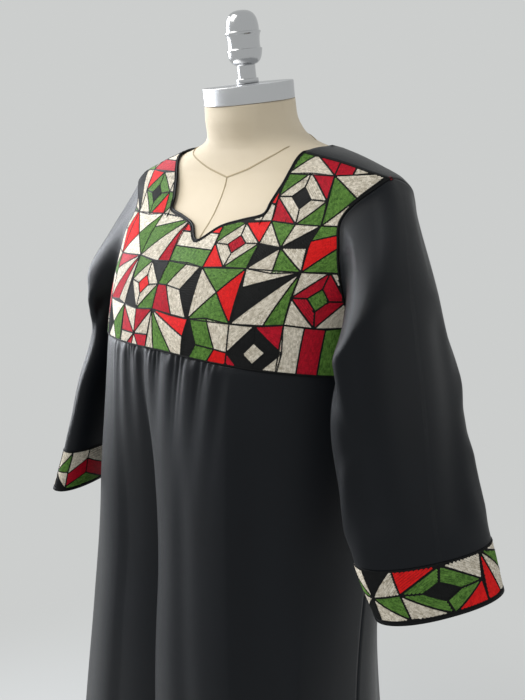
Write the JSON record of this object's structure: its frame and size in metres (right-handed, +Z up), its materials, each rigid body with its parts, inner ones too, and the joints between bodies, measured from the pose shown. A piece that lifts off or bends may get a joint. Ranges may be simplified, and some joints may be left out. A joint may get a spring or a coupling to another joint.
{
  "type": "embroidered midi dress on a dress form",
  "caption": "Loose midi dress with an embroidered yoke, shaped neckline, gathered A-line skirt and wide three-quarter sleeves, worn on a limbless covered dress form on a round base.",
  "frame": {"origin": "centre of the base's underside, on the floor", "axes": "+Z up along the pole, -Y the way the dress faces, +X to the wearer's left"},
  "size_m": [0.6795, 0.4971, 1.5483],
  "materials": {
    "black_cotton": "near-black cotton twill with a soft sheen",
    "embroidery": "dense chain stitch in crimson, scarlet, green, ecru and black",
    "black_piping": "narrow black piping",
    "cream_linen": "cream linen stretched over the form",
    "brushed_aluminium": "brushed aluminium",
    "polished_steel": "polished metal",
    "black_paint": "black painted metal"
  },
  "bodies": {
    "root": {"front_yoke": "embroidery", "front_skirt": "black_cotton", "back_panel": "black_cotton", "sleeve_left": "black_cotton", "sleeve_right": "black_cotton", "cuff_left": "embroidery", "cuff_right": "embroidery", "cuff_edge_left": "black_piping", "cuff_edge_right": "black_piping", "neck_binding": "black_piping", "form_torso": "cream_linen", "neck_cap": "brushed_aluminium", "finial": "polished_steel", "pole": "brushed_aluminium", "base": "black_paint"}
  },
  "joints": []
}
